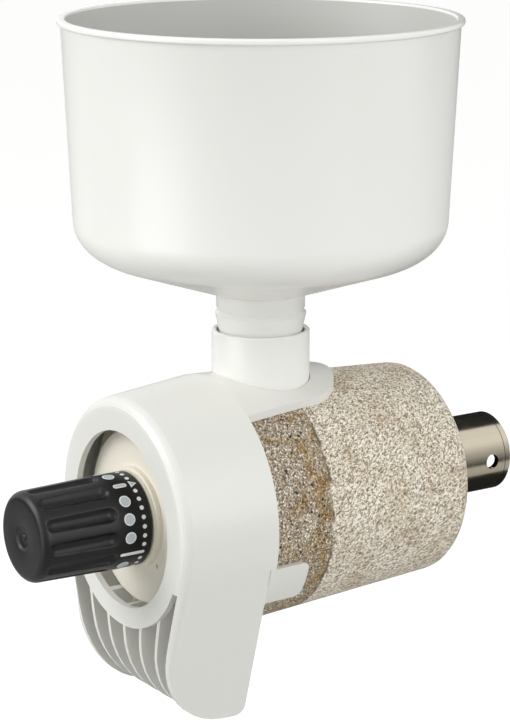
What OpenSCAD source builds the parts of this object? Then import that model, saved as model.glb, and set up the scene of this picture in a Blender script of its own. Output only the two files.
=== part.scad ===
// Stone grain mill for a stand mixer's drive hub.
// Millimetres. The mill axis runs along Y: the coupling sleeve points to +Y,
// the setting knob to -Y, and grain falls in from +Z. The origin is on the mill
// axis, in the rear face of the stone body, where the sleeve comes out.

/* [Stone body] */
// Diameter of the stone body where it meets the fixed millstone
body_front_d = 92.2; // [86:0.2:100]
// Diameter of the stone body at its rear shoulder
body_rear_d = 85; // [78:0.5:92]
// Length of the stone body along the mill axis
body_len = 72.6; // [70:0.2:84]
// Width of the rounded rear shoulder, across the axis
shoulder_w = 17.5; // [6:0.5:22]
// Length of the rounded rear shoulder, along the axis
shoulder_l = 8.3; // [4:0.1:16]

/* [Fixed millstone] */
// Thickness of the fixed millstone
fixed_len = 35.4; // [30:0.2:44]
// Depth of the furrows in both grinding faces
furrow_depth = 1.4; // [0.6:0.1:2.4]
// Width of one furrow
furrow_w = 4; // [2:0.5:6]
// Number of furrows in each grinding face
furrow_count = 10; // [6:1:14]
// How far each furrow's line passes from the mill axis
furrow_draft = 9; // [0:0.5:12]
// Diameter of the dished eye at the grinding face
eye_d = 46; // [36:1:54]
// Depth of the dished eye
eye_depth = 5; // [2:0.5:8]

/* [Running stone] */
// Diameter of the running millstone
rotor_d = 73; // [64:0.5:73]
// Thickness of the running millstone
rotor_len = 10; // [8:0.5:12]
// Gap between the stones at the setting shown
stone_gap = 0.4; // [0.3:0.05:1]
// Thickness of the steel carrier plate
plate_t = 3; // [2:0.5:4]
// Diameter of the carrier's hub inside the stone
carrier_hub_d = 24; // [20:1:30]
// Distance of the stone screws from the mill axis
stone_screw_pitch_r = 24; // [20:0.5:28]

/* [Coupling sleeve] */
// Outside diameter of the sleeve that enters the mixer's hub
sleeve_d = 32; // [28:0.5:38]
// Length of the sleeve outside the stone body
sleeve_reach = 37.4; // [24:0.2:50]
// Wall of the sleeve
sleeve_wall = 2.5; // [1.5:0.25:3.5]
// Length of the sleeve set into the stone body
sleeve_root = 22; // [16:1:24]
// Diameter of the locking hole in the sleeve
lock_hole_d = 6; // [3:0.5:8]
// Distance of the locking hole from the stone body
lock_hole_y = 27.6; // [14:0.2:40]
// Chamfer on the sleeve's mouth
sleeve_chamfer = 0.8; // [0.2:0.1:1.2]

/* [Drive shaft] */
// Diameter of the drive shaft
shaft_d = 12; // [10:0.5:14]
// Distance across the flats of the drive tang
tang_w = 8; // [6:0.25:9]
// How far the tang stays inside the sleeve's mouth
tang_recess = 11; // [6:0.5:18]
// Diameter of the thread at the front of the shaft
shaft_thread_d = 8; // [6:0.5:9]
// Diameter of the thrust collar on the shaft
collar_d = 17; // [15:0.5:18.5]
// Length of the rear bearing bush
rear_bush_len = 15; // [10:1:16]
// Length of the inner bearing bush
inner_bush_len = 12; // [8:1:14]
// Outside diameter of the inner bearing bush
inner_bush_d = 20; // [18:0.5:22]
// Wire of the pressure spring
spring_wire = 1.5; // [1:0.1:1.6]
// Number of turns of the pressure spring
spring_turns = 4; // [3:1:5]

/* [Grain chamber] */
// Diameter of the grain chamber around the auger
chamber_d = 30; // [28:0.5:33]
// Length of the grain chamber behind the feed tube's axis
chamber_behind = 19.2; // [17.6:0.2:22]
// Diameter of the auger over its flight
auger_d = 28.6; // [24:0.2:28.8]
// Diameter of the auger's core
auger_core_d = 17; // [15:0.5:19]
// Advance of the auger in one turn
auger_lead = 24; // [18:1:30]
// Thickness of the auger's flight, along the axis
flight_t = 3; // [2:0.25:4]

/* [Front cover] */
// Distance from the fixed millstone's face to the front face of the cover's floor
cover_floor_at = 23.6; // [22.8:0.1:28]
// Thickness of the cover's floor
floor_t = 4; // [3:0.25:4.5]
// How far the cover's front face stands behind the hood's mouth
dish_depth = 6.7; // [4:0.1:9]
// Outside diameter of the cover around the stones
cover_d = 84; // [82:0.5:86]
// Wall of the cover
cover_wall = 2.5; // [2:0.25:3]
// How far the cover's outer shoulder stands behind its front face
cover_step = 6.6; // [6.2:0.1:6.8]
// Diameter of the stepped collar around the spindle
step_d = 39; // [37:0.5:44]
// Height of the stepped collar
step_h = 3; // [2:0.2:3.4]
// Width of the flour window in the cover's wall
window_w = 52; // [30:1:56]

/* [Outlet hood] */
// Diameter of the opening in the hood's front
mouth_d = 68; // [64:0.5:72]
// Wall of the hood
hood_wall = 2.5; // [2:0.25:2.75]
// How far the hood's outside stands off the fixed millstone at its rear rim
hood_stand = 2.6; // [2.4:0.1:5]
// How much the hood's radius shrinks from its rear rim to its front shoulder
hood_draft = 3.4; // [2.4:0.1:3.6]
// Radius of the hood's front shoulder
hood_round = 5; // [4:0.5:6]
// Distance of the hood's rear rim behind the fixed millstone's face
hood_overlap = 8; // [5:0.5:12]
// How far the hood's side walls lean in, in degrees
wall_lean = 16.5; // [10:0.5:20]
// Height of the spout's bottom below the mill axis
spout_drop = 76.6; // [68:0.2:90]
// Height below the mill axis at which the spout's front starts to curve
curve_drop = 44; // [42:1:56]
// Length of the curve in the spout's front, along the mill axis
curve_len = 27; // [16:1:32]
// Number of ribs in the spout's front
rib_count = 5; // [3:1:7]
// Thickness of one rib
rib_t = 1.8; // [1.2:0.1:2.4]
// Depth of one rib, along the mill axis
rib_depth = 11; // [6:0.5:11.5]
// How far the ribs stand back from the front
rib_setback = 1; // [0.5:0.1:2]
// Distance behind the hood's front at which the ribs end
rib_reach = 19; // [16:0.5:22]
// Length of the side clips behind the hood's rim
clip_len = 15.6; // [8:0.2:22]
// Radius of the tongue's round end behind the feed tube
tongue_r = 24.4; // [22:0.2:28]
// Distance of the round end's centre behind the feed tube's axis
tongue_reach = 4.8; // [2:0.2:9]

/* [Feed tube] */
// Outside diameter of the feed tube
tube_d = 37.8; // [34:0.2:40]
// Wall of the feed tube
tube_wall = 1.9; // [1.4:0.1:2.4]
// Height of the feed tube's top above the mill axis
tube_top = 66.1; // [60:0.1:80]
// Distance of the feed tube's axis from the rear face of the stone body
tube_y = 75.2; // [73:0.2:80]
// Diameter of the feed hole down to the auger
feed_d = 27; // [22:0.5:28]
// Height of the tube's shoulder above the mill axis
tube_seat = 38; // [36:0.5:40]

/* [Hopper] */
// Outside diameter of the hopper's rim
hopper_d = 152.4; // [120:0.2:180]
// Height of the hopper's rim above the mill axis
hopper_top = 185.4; // [150:0.2:220]
// Height of the hopper's bottom edge above the mill axis
hopper_low = 92.3; // [88:0.1:110]
// Height at which the hopper's funnel meets the neck
neck_top = 80.2; // [78.2:0.2:84]
// Wall of the hopper
hopper_wall = 1.8; // [1.4:0.1:2.6]
// How far the wall leans in from rim to lower corner
hopper_draft = 3.4; // [1:0.1:8]
// Width of the hopper's rounded lower corner
corner_w = 22; // [12:0.5:30]
// Height of the hopper's rounded lower corner
corner_h = 17.2; // [10:0.2:26]
// How far round the hopper's lower corner turns before the funnel starts, in degrees
corner_turn = 70; // [60:1:80]
// Width of the rolled lip at the rim
lip_w = 1.4; // [0.6:0.1:2.4]
// Diameter of the hopper's neck
neck_d = 34.2; // [31:0.2:36]
// Diameter of the sleeve ring that stops the hopper on the tube
stop_d = 35.2; // [33:0.2:37]
// How far the spout goes down into the feed tube
spout_len = 20; // [14:0.5:24]

/* [Setting knob] */
// Diameter of the knob at its skirt
knob_d = 36; // [34:0.5:42]
// Diameter of the knob at its front end
knob_front_d = 34.6; // [31:0.2:36]
// Length of the knob
knob_len = 45.6; // [40:0.2:56]
// Wall of the knob's skirt
knob_wall = 2.8; // [2:0.1:3.2]
// Depth of the hollow in the knob
knob_hollow = 16.5; // [16:0.5:20]
// Radius of the knob's front edge
knob_round = 3.5; // [1.5:0.5:5]
// Number of grip flutes
flute_count = 12; // [8:1:14]
// Radius of one grip flute
flute_r = 3.2; // [2:0.2:3.6]
// Depth of one grip flute
flute_depth = 1.3; // [0.6:0.1:1.6]
// Length of the smooth skirt that carries the scale
scale_band = 14; // [10:0.5:18]
// Diameter of the adjusting spindle
spindle_d = 10; // [8:0.5:11]
// Diameter of the thrust ball
ball_d = 7; // [5:0.5:7.5]

/* [Fits] */
// Running clearance of a shaft, on the radius
run_fit = 0.05; // [0.03:0.01:0.08]
// Clearance of parts that are set into each other, on the radius
set_fit = 0.1; // [0.05:0.01:0.15]
// Clearance between parts that come off by hand
slip_fit = 0.3; // [0.25:0.05:0.45]
// End play of parts that face each other
face_fit = 0.05; // [0.02:0.01:0.1]

/* [Hidden] */
$fn = 72;
eps = 0.01;
past = 1;

// Places along the mill axis, all worked out from the rear face of the stone body.
y_joint = -body_len;
y_face = y_joint - fixed_len;
y_tube = -tube_y;
y_rotor = y_face - stone_gap;
y_plate = y_rotor - rotor_len;
y_plate_front = y_plate - plate_t;
nut_t = 4;
y_nut_front = y_plate_front - nut_t;
y_shaft_front = y_nut_front - 1.6;
y_ball = y_shaft_front - face_fit - ball_d / 2;
y_spindle_rear = y_ball - ball_d / 2 - face_fit;
y_floor = y_face - cover_floor_at;
y_floor_rear = y_floor + floor_t;
y_mouth = y_floor - dish_depth - 0.2;
y_shoulder = y_floor + cover_step;
y_step = y_floor - step_h;
y_knob = y_step - 0.4;
y_knob_front = y_knob - knob_len;
y_rim = y_face + hood_overlap;
y_skirt = y_rim - 2.4;
y_tongue = y_tube + tongue_reach;
y_chamber = y_tube + chamber_behind;
y_tang = sleeve_reach - tang_recess;

// Radii that more than one piece uses.
shaft_r = shaft_d / 2;
sleeve_r = sleeve_d / 2;
sleeve_in_r = sleeve_r - sleeve_wall;
root_r = sleeve_r - 0.8;
chamber_r = chamber_d / 2;
feed_r = feed_d / 2;
tube_r = tube_d / 2;
spindle_r = spindle_d / 2;
cover_r = cover_d / 2;
mouth_r = mouth_d / 2;
dish_r = mouth_r - slip_fit;
body_slope = (body_front_d - body_rear_d) / 2 / (body_len - shoulder_l);
function stone_r(y) = body_front_d / 2 - body_slope * (y - y_joint);

// Rear bearing stack.
y_seal = -sleeve_root;
seal_t = 2;
y_rear_bush = y_seal + seal_t;
y_rear_bush_end = y_rear_bush + rear_bush_len;
y_circlip = y_rear_bush_end + 1.2;
circlip_t = 1;
web_t = 6;
y_inner_bush = -sleeve_root - web_t;
y_spring = y_inner_bush - inner_bush_len - face_fit;
washer_t = 2;
collar_t = 3;
y_collar = y_chamber + 1.5;
spring_room_r = inner_bush_d / 2;
auger_gap = 1.2;
y_auger = y_chamber - washer_t - auger_gap;

// Screws and pins.
cover_screw_r = 1.75;
cover_head_r = 2.9;
cover_head_h = 2.2;
cover_boss_r = 3;
cover_screw_bite = 12;
cover_pitch_r = cover_r - 2;
cover_screw_angles = [90, 210, 330];
stone_screw_r = 2;
stone_screw_head_r = 3.8;
stone_screw_bite = 6;
stone_screw_angles = [30, 150, 270];
pin_r = 1.5;
nut_across = 13;

// Knob details.
bush_barrel_r = 8;
bush_flange_r = 12.6;
bush_flange_t = 4.4;
bush_nose = 11;
ring_minor = 1.4;
knob_in_r = knob_d / 2 - knob_wall;
insert_r = 7;
insert_len = 20;
flute_offset = 27;
scale_step = 11.25;

// Hood details.
hood_rear_d = 2 * (stone_r(y_rim) + hood_stand);
hood_front_d = hood_rear_d - 2 * hood_draft;
hood_slope = (hood_rear_d - hood_front_d) / 2 / (y_rim - y_mouth - hood_round);
hood_apex = y_rim - hood_rear_d / 2 / hood_slope;
function hood_r(y) = (y - hood_apex) * hood_slope;
ring_r = hood_r(y_mouth + hood_round) - hood_round;
hood_tilt = atan(hood_slope);
curve_h = spout_drop - curve_drop;
spout_corner = 4;
back_t = 2.2;
clip_t = 2.6;
clip_from = 15.5;
clip_to = 35;
tongue_t = 3;
tongue_side = 29.3;
lug_r = 3;
gap_drop = 19;

// Feed tube and hopper details.
tube_in_r = tube_r - tube_wall;
neck_low = tube_top + 6.4;
spout_r = tube_in_r - 1.1;
spout_bottom = tube_top - spout_len;
tube_neck_r = feed_r + 2.6;
tube_foot = 21;
hopper_r = hopper_d / 2 - lip_w;
corner_r = hopper_r - hopper_draft;

function arc(cx, cy, rx, ry, from, to, n = 8) =
    [for (i = [0:n]) let (a = from + (to - from) * i / n) [cx + rx * cos(a), cy + ry * sin(a)]];

// A turned solid on the mill axis. Each point of the outline is [radius, y].
module turned(outline) {
    rotate([-90, 0, 0]) rotate_extrude() polygon(outline);
}

// A rod on the mill axis from y0 to y1.
module rod(r, y0, y1) {
    translate([0, min(y0, y1), 0]) rotate([-90, 0, 0]) cylinder(r = r, h = abs(y1 - y0));
}

// A ring on the mill axis from y0 to y1.
module ring(r, hole_r, y0, y1) {
    difference() {
        rod(r, y0, y1);
        rod(hole_r, min(y0, y1) - past, max(y0, y1) + past);
    }
}

// An upright rod on the feed tube's axis.
module post(r, z0, z1) {
    translate([0, y_tube, z0]) cylinder(r = r, h = z1 - z0);
}

// Places copies round the mill axis, at a distance r and at the given angles.
module around(r, angles) {
    for (a = angles) rotate([0, -a, 0]) translate([r, 0, 0]) children();
}

module feed_hole() {
    post(tube_neck_r + set_fit, tube_foot - face_fit, tube_seat + past);
    post(feed_r, 0, tube_foot + past);
    post(tube_r + set_fit, tube_seat, body_front_d);
}

// Furrows of one grinding face: slots that run out past the stone's edge and
// pass the mill axis at a distance, so that crossed edges shear the grain.
module furrows(y, reach) {
    for (i = [0:furrow_count - 1])
        rotate([0, i * 360 / furrow_count, 0])
            translate([eye_d / 2 - 4, y - furrow_depth, furrow_draft - furrow_w / 2])
                cube([reach, 2 * furrow_depth, furrow_w]);
}

module stone_body() {
    color("BurlyWood") difference() {
        turned(concat(
            [[0, 0]],
            [for (p = arc(body_rear_d / 2 - shoulder_w, -shoulder_l, shoulder_w, shoulder_l, 90, 0)) p],
            [[body_front_d / 2, y_joint], [0, y_joint]]));
        rod(root_r + set_fit, -sleeve_root, past);
        rod(shaft_r + 2, y_inner_bush - past, past);
        rod(spring_room_r + set_fit, y_chamber - past, y_inner_bush);
        rod(chamber_r, y_joint - past, y_chamber);
        feed_hole();
    }
}

module fixed_stone() {
    color("Gray") difference() {
        turned([[0, y_joint], [body_front_d / 2, y_joint], [stone_r(y_face + 1), y_face + 1],
            [stone_r(y_face + 1) - 1, y_face], [0, y_face]]);
        rod(chamber_r, y_face - past, y_joint + past);
        turned([[0, y_face - eps], [eye_d / 2, y_face - eps], [chamber_r, y_face + eye_depth],
            [0, y_face + eye_depth]]);
        intersection() {
            furrows(y_face, rotor_d);
            rod(rotor_d / 2 + 1, y_face - past, y_joint);
        }
        around(cover_pitch_r, cover_screw_angles)
            rod(cover_screw_r + run_fit, y_face - past, y_face + cover_screw_bite);
        feed_hole();
    }
}

module coupling_sleeve() {
    color("Silver") difference() {
        turned([[sleeve_in_r, -sleeve_root], [root_r, -sleeve_root], [root_r, 0], [sleeve_r, 0],
            [sleeve_r, sleeve_reach - sleeve_chamfer], [sleeve_r - sleeve_chamfer, sleeve_reach],
            [sleeve_in_r + sleeve_chamfer, sleeve_reach],
            [sleeve_in_r, sleeve_reach - sleeve_chamfer]]);
        translate([sleeve_r / 2, lock_hole_y, 0]) rotate([0, 90, 0])
            cylinder(d = lock_hole_d, h = sleeve_r);
    }
}

module rear_bush() {
    color("DarkGoldenrod")
        ring(sleeve_in_r - set_fit, shaft_r + run_fit, y_rear_bush, y_rear_bush_end);
}

module shaft_seal() {
    color("DimGray") difference() {
        ring(sleeve_in_r - set_fit, shaft_r + run_fit, y_seal, y_seal + seal_t);
        ring(shaft_r + 4, shaft_r + 2, y_seal + seal_t / 2, y_seal + seal_t + past);
    }
}

module inner_bush() {
    color("DarkGoldenrod")
        ring(inner_bush_d / 2, shaft_r + run_fit, y_inner_bush - inner_bush_len, y_inner_bush);
}

// The pressure spring: a ring of points swept along its helix.
module pressure_spring() {
    wire_r = spring_wire / 2;
    coil_r = (shaft_r + spring_room_r) / 2 + 0.05;
    free = y_spring - (y_collar + collar_t + face_fit) - spring_wire;
    sides = 8;
    per_turn = 16;
    steps = spring_turns * per_turn;
    points = [for (i = [0:steps], j = [0:sides - 1])
        let (a = 360 * i / per_turn, b = 360 * j / sides, r = coil_r + wire_r * cos(b))
        [r * cos(a), y_spring - wire_r - free * i / steps - wire_r * sin(b), r * sin(a)]];
    walls = [for (i = [0:steps - 1], j = [0:sides - 1]) let (k = (j + 1) % sides)
        each [[i * sides + j, (i + 1) * sides + j, (i + 1) * sides + k],
            [i * sides + j, (i + 1) * sides + k, i * sides + k]]];
    ends = [[for (j = [0:sides - 1]) j], [for (j = [0:sides - 1]) (steps + 1) * sides - 1 - j]];
    color("LightSlateGray") polyhedron(points, concat(walls, ends));
}

module chamber_washer() {
    color("Tan") ring(chamber_r - set_fit, shaft_r + run_fit, y_chamber - washer_t, y_chamber);
}

module drive_shaft() {
    color("LightSteelBlue") difference() {
        union() {
            rod(shaft_r, y_plate_front + 0.5, y_circlip + circlip_t + 3);
            intersection() {
                rod(shaft_r, 0, y_tang);
                translate([-shaft_r, 0, -tang_w / 2]) cube([shaft_d, y_tang + past, tang_w]);
            }
            rod(collar_d / 2, y_collar, y_collar + collar_t);
            rod(shaft_thread_d / 2, y_shaft_front, y_plate_front + past);
        }
        ring(shaft_r + past, shaft_r - 0.7, y_circlip, y_circlip + circlip_t);
        translate([0, y_auger - 6, 0]) cylinder(r = pin_r + run_fit, h = shaft_d + past, center = true);
    }
}

module shaft_circlip() {
    color("SlateGray") difference() {
        ring(shaft_r + 2.6, shaft_r - 0.7 + run_fit, y_circlip + face_fit, y_circlip + circlip_t - face_fit);
        translate([-1.5, y_circlip - past, 0]) cube([3, circlip_t + 2 * past, shaft_d + past]);
    }
}

// The auger: a core with a screw flight, pinned to the shaft.
module auger() {
    length = y_auger - y_rotor - face_fit;
    flight_len = y_auger - 10 - (y_face + 2);
    turn = 360 * flight_len / auger_lead;
    width = 360 * flight_t / auger_lead;
    color("Silver") difference() {
        union() {
            rod(auger_core_d / 2, y_auger - length, y_auger);
            translate([0, y_face + 2, 0]) rotate([-90, 0, 0])
                linear_extrude(height = flight_len, twist = turn, slices = 30)
                    polygon(concat([for (a = [0:width / 2:width]) auger_d / 2 * [cos(a), sin(a)]],
                        [for (a = [width, 0]) (auger_core_d / 2 - 1) * [cos(a), sin(a)]]));
        }
        rod(shaft_r + run_fit, y_auger - length - past, y_auger + past);
        translate([0, y_auger - 6, 0])
            cylinder(r = pin_r + run_fit, h = auger_core_d + 2, center = true);
    }
}

module auger_pin() {
    color("DimGray") translate([0, y_auger - 6, 0])
        cylinder(r = pin_r, h = auger_core_d - 0.4, center = true);
}

module rotor_carrier() {
    color("LightSteelBlue") difference() {
        union() {
            rod(carrier_hub_d / 2, y_plate, y_rotor);
            rod(stone_screw_pitch_r + 6, y_plate_front, y_plate);
        }
        rod(shaft_r + run_fit, y_plate_front - past, y_rotor + past);
        around(stone_screw_pitch_r, stone_screw_angles) {
            rod(stone_screw_r + run_fit, y_plate_front - past, y_plate + past);
            turned([[0, y_plate_front - eps], [stone_screw_head_r + set_fit, y_plate_front - eps],
                [stone_screw_r, y_plate_front + 2], [0, y_plate_front + 2]]);
        }
    }
}

module rotor_stone() {
    color("Gray") difference() {
        turned([[carrier_hub_d / 2 + set_fit, y_plate], [rotor_d / 2 - 1, y_plate],
            [rotor_d / 2, y_plate + 1], [rotor_d / 2, y_rotor], [eye_d / 2, y_rotor],
            [carrier_hub_d / 2 + set_fit, y_rotor - eye_depth / 2]]);
        intersection() {
            mirror([1, 0, 0]) furrows(y_rotor, rotor_d);
            rod(rotor_d, y_plate + 2, y_rotor + past);
        }
        around(stone_screw_pitch_r, stone_screw_angles)
            rod(stone_screw_r + run_fit, y_plate - past, y_plate + stone_screw_bite);
    }
}

module rotor_screws() {
    color("Silver") around(stone_screw_pitch_r, stone_screw_angles)
        turned([[0, y_plate_front], [stone_screw_head_r, y_plate_front],
            [stone_screw_r, y_plate_front + 2], [stone_screw_r, y_plate + stone_screw_bite - 0.5],
            [0, y_plate + stone_screw_bite]]);
}

module rotor_nut() {
    color("Silver") difference() {
        translate([0, y_nut_front, 0]) rotate([-90, 0, 0])
            cylinder(d = nut_across / cos(30), h = nut_t, $fn = 6);
        rod(shaft_thread_d / 2 + run_fit, y_nut_front - past, y_plate_front + past);
    }
}

module front_cover() {
    color("AntiqueWhite") difference() {
        union() {
            turned([[bush_barrel_r + set_fit, y_step], [step_d / 2 - 1.2, y_step],
                [step_d / 2 - 1.2, y_step + step_h * 0.4], [step_d / 2, y_step + step_h * 0.4],
                [step_d / 2, y_floor], [dish_r - 0.8, y_floor], [dish_r, y_floor + 0.8],
                [dish_r, y_shoulder], [cover_r, y_shoulder], [cover_r, y_face],
                [cover_r - cover_wall, y_face], [cover_r - cover_wall, y_shoulder + cover_wall],
                [dish_r - cover_wall, y_shoulder + cover_wall], [dish_r - cover_wall, y_floor_rear],
                [bush_barrel_r + set_fit, y_floor_rear]]);
            around(cover_pitch_r, cover_screw_angles) rod(cover_boss_r, y_shoulder, y_face);
        }
        around(cover_pitch_r, cover_screw_angles)
            rod(cover_screw_r + run_fit, y_floor - past, y_face + past);
        translate([-window_w / 2, y_shoulder + cover_wall, -cover_r - past])
            cube([window_w, y_face - 1 - y_shoulder - cover_wall, cover_r / 2]);
        translate([14.9, y_floor - past, -15.8]) rotate([-90, 0, 0]) cylinder(r = 0.9, h = past + 1.2);
    }
}

module cover_screws() {
    color("Silver") around(cover_pitch_r, cover_screw_angles) difference() {
        union() {
            rod(cover_head_r, y_shoulder - cover_head_h, y_shoulder);
            rod(cover_screw_r, y_shoulder, y_face + cover_screw_bite - 0.5);
        }
        translate([0, y_shoulder - cover_head_h - past, 0]) rotate([-90, 0, 0])
            cylinder(d = 2.6, h = past + 1.4, $fn = 6);
    }
}

module adjusting_bush() {
    color("DarkGoldenrod") difference() {
        turned([[spindle_r + run_fit, y_floor_rear], [bush_barrel_r, y_floor_rear],
            [bush_barrel_r, y_step], [bush_flange_r, y_step], [bush_flange_r, y_step - bush_flange_t],
            [bush_barrel_r, y_step - bush_flange_t],
            [bush_barrel_r, y_step - bush_flange_t - bush_nose + 0.8],
            [bush_barrel_r - 0.8, y_step - bush_flange_t - bush_nose],
            [spindle_r + run_fit, y_step - bush_flange_t - bush_nose]]);
        knob_ring_groove();
    }
}

module ring_torus(grow) {
    translate([0, y_step - bush_flange_t / 2, 0]) rotate([-90, 0, 0]) rotate_extrude()
        translate([knob_in_r - slip_fit - ring_minor, 0]) circle(r = ring_minor + grow, $fn = 32);
}

module knob_ring_groove() {
    ring_torus(set_fit);
}

module knob_ring() {
    color("Black") ring_torus(0);
}

module thrust_ball() {
    color("Silver") translate([0, y_ball, 0]) rotate([90, 0, 0]) sphere(d = ball_d);
}

module adjusting_spindle() {
    color("Silver") turned([[0, y_spindle_rear], [spindle_r - 0.6, y_spindle_rear],
        [spindle_r, y_spindle_rear - 0.6], [spindle_r, y_knob - knob_hollow - insert_len + 0.6],
        [spindle_r - 0.6, y_knob - knob_hollow - insert_len],
        [0, y_knob - knob_hollow - insert_len]]);
}

module knob_insert() {
    color("DarkGoldenrod")
        ring(insert_r, spindle_r + run_fit, y_knob - knob_hollow - insert_len, y_knob - knob_hollow);
}

// The knob: a tapered grip with round-ended flutes and a smooth skirt for the scale.
module knob() {
    front_r = knob_front_d / 2;
    flute_end = y_knob - scale_band - flute_r;
    flute_start = y_knob_front + knob_round + flute_r / 2;
    color("DarkSlateGray") difference() {
        turned(concat([[0, y_knob], [knob_d / 2 - 0.4, y_knob], [knob_d / 2, y_knob - 0.4],
            [knob_d / 2, y_knob - scale_band]],
            [for (p = arc(front_r - knob_round, y_knob_front + knob_round, knob_round, knob_round,
                0, -90, 6)) p],
            [[0, y_knob_front]]));
        rod(knob_in_r, y_knob - knob_hollow, y_knob + past);
        rod(insert_r + set_fit, y_knob - knob_hollow - insert_len - face_fit, y_knob);
        for (i = [0:flute_count - 1]) rotate([0, -(flute_offset + i * 360 / flute_count), 0])
            translate([front_r + flute_r - flute_depth, 0, 0]) {
                rod(flute_r, flute_start, flute_end);
                translate([0, flute_end, 0]) sphere(r = flute_r, $fn = 32);
                translate([0, flute_start, 0]) sphere(r = flute_r, $fn = 32);
            }
        turned([[0, y_knob_front - past], [4.7, y_knob_front - past], [4.7, y_knob_front],
            [3.2, y_knob_front + 0.9], [1.3, y_knob_front + 1.1], [0.9, y_knob_front + 0.5],
            [0, y_knob_front + 0.5]]);
    }
}

// The round barrel of the hood, with every face moved in by the wall that is given.
module barrel_form(wall, rear) {
    front = y_mouth + wall;
    round = max(hood_round - wall, 0.5);
    turned(concat([[0, front]],
        [for (p = arc(hood_r(front + round) - wall - round, front + round, round, round, -90, 0, 6)) p],
        [[hood_r(rear) - wall, rear], [0, rear]]));
}

// The space between the two planes that touch the barrel, from y0 back to y1.
module between_walls(wall, y0, y1, z_top) {
    far = 300;
    intersection() {
        translate([-far / 2, y0, -spout_drop - wall]) cube([far, y1 - y0, spout_drop + wall + z_top]);
        skirt_half(wall, far);
        mirror([1, 0, 0]) skirt_half(wall, far);
    }
}

module skirt_half(wall, far) {
    translate([0, hood_apex, 0]) rotate([0, wall_lean, 0]) rotate([0, 0, -hood_tilt])
        translate([-far - wall, 0, -far]) cube([far, 4 * far, far]);
}

module skirt() {
    intersection() {
        between_walls(0, y_mouth, y_skirt, 0);
        rotate([90, 0, 90]) translate([0, 0, -hood_rear_d]) linear_extrude(height = 2 * hood_rear_d)
            skirt_outline(0);
    }
}

// Cutters for the skirt's two front edges: the shoulder's rounding, fading out downwards.
module skirt_edges() {
    fade = curve_drop;
    small = 0.8;
    for (side = [0, 1]) mirror([side, 0, 0])
        translate([0, hood_apex, 0]) rotate([0, wall_lean, 0]) rotate([0, 0, -hood_tilt])
            rotate([0, 0, hood_tilt]) translate([0, y_mouth - hood_apex, 0]) {
                r_front = hood_r(y_mouth);
                difference() {
                    translate([r_front - hood_round, -past, -fade])
                        cube([2 * hood_round, hood_round + past, fade]);
                    hull() {
                        edge_disc(r_front, hood_round, -eps);
                        edge_disc(r_front, small, -fade - eps);
                    }
                }
            }
}

// A disc that touches the front plane and the side plane, carried far inwards.
module edge_disc(x, r, z) {
    translate([0, 0, z]) linear_extrude(height = 2 * eps) intersection() {
        hull() {
            translate([x + hood_slope * r - r, r]) circle(r = r, $fn = 32);
            translate([-x, r]) circle(r = r, $fn = 32);
            translate([x + hood_slope * 4 * hood_round - r, 4 * hood_round]) circle(r = r, $fn = 32);
        }
        translate([-x, -1]) square([3 * x, 4 * hood_round]);
    }
}

// Side view of the skirt, [y, z]: straight front, curved lower front, flat bottom.
module skirt_outline(setback) {
    rear = y_skirt;
    polygon(concat(
        [[rear, 0], [y_mouth + setback, 0], [y_mouth + setback, -curve_drop]],
        [for (p = arc(y_mouth + curve_len + setback, -curve_drop, curve_len, curve_h - setback,
            190, 260, 8)) p],
        [[y_mouth + curve_len + setback, -spout_drop + setback]],
        [for (p = arc(rear - spout_corner, -spout_drop + spout_corner, spout_corner, spout_corner,
            270, 360, 4)) p]));
}

// One rib: a leaning plate that follows the skirt's front outline.
module rib(share) {
    fan_x = hood_r(y_mouth) * cos(wall_lean);
    fan_z = -sin(wall_lean) * hood_r(y_mouth) - fan_x / tan(wall_lean);
    translate([0, 0, fan_z]) rotate([0, atan(share * tan(wall_lean)), 0])
        translate([-rib_t / 2, y_mouth, 0]) cube([rib_t, spout_drop, 2 * spout_drop + 60]);
}

module ribs() {
    intersection() {
        difference() {
            union() for (i = [1:rib_count]) rib(2 * i / (rib_count + 1) - 1);
            rod(mouth_r + slip_fit, y_mouth - past, y_mouth + spout_drop);
            rod(cover_r + slip_fit, y_shoulder - slip_fit, y_mouth + spout_drop);
            translate([-2 * ring_r, y_mouth - past, -ring_r * 2 / 3])
                cube([4 * ring_r, 2 * spout_drop, 3 * ring_r]);
            translate([-2 * ring_r, y_mouth + rib_reach, -2 * spout_drop])
                cube([4 * ring_r, 2 * spout_drop, 3 * spout_drop]);
        }
        rotate([90, 0, 90]) translate([0, 0, -2 * ring_r]) linear_extrude(height = 4 * ring_r)
            difference() {
                skirt_outline(rib_setback);
                translate([rib_depth, 0]) skirt_outline(rib_setback);
                translate([rib_depth, rib_depth]) skirt_outline(rib_setback);
            }
    }
}

module outlet_hood() {
    color("WhiteSmoke") difference() {
        union() {
            difference() {
                union() {
                    barrel_form(0, y_rim);
                    skirt();
                }
                barrel_form(hood_wall, y_rim + past);
                between_walls(hood_wall, y_mouth + hood_wall, y_skirt - back_t, 0);
                between_walls(hood_wall, y_mouth - past, y_mouth + 2 * hood_wall, -gap_drop);
            }
            ring(ring_r, mouth_r, y_mouth, y_mouth + hood_wall);
            ribs();
            tongue();
            clips();
        }
        skirt_edges();
        rod(mouth_r, y_mouth - past, y_mouth + hood_wall + past);
        post(tube_r + slip_fit, 0, hood_rear_d);
        // Room for the stones inside the rim.
        turned([[0, y_face - 1], [stone_r(y_face) + slip_fit, y_face - 1],
            [stone_r(0) + slip_fit, 0], [0, 0]]);
    }
}

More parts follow.
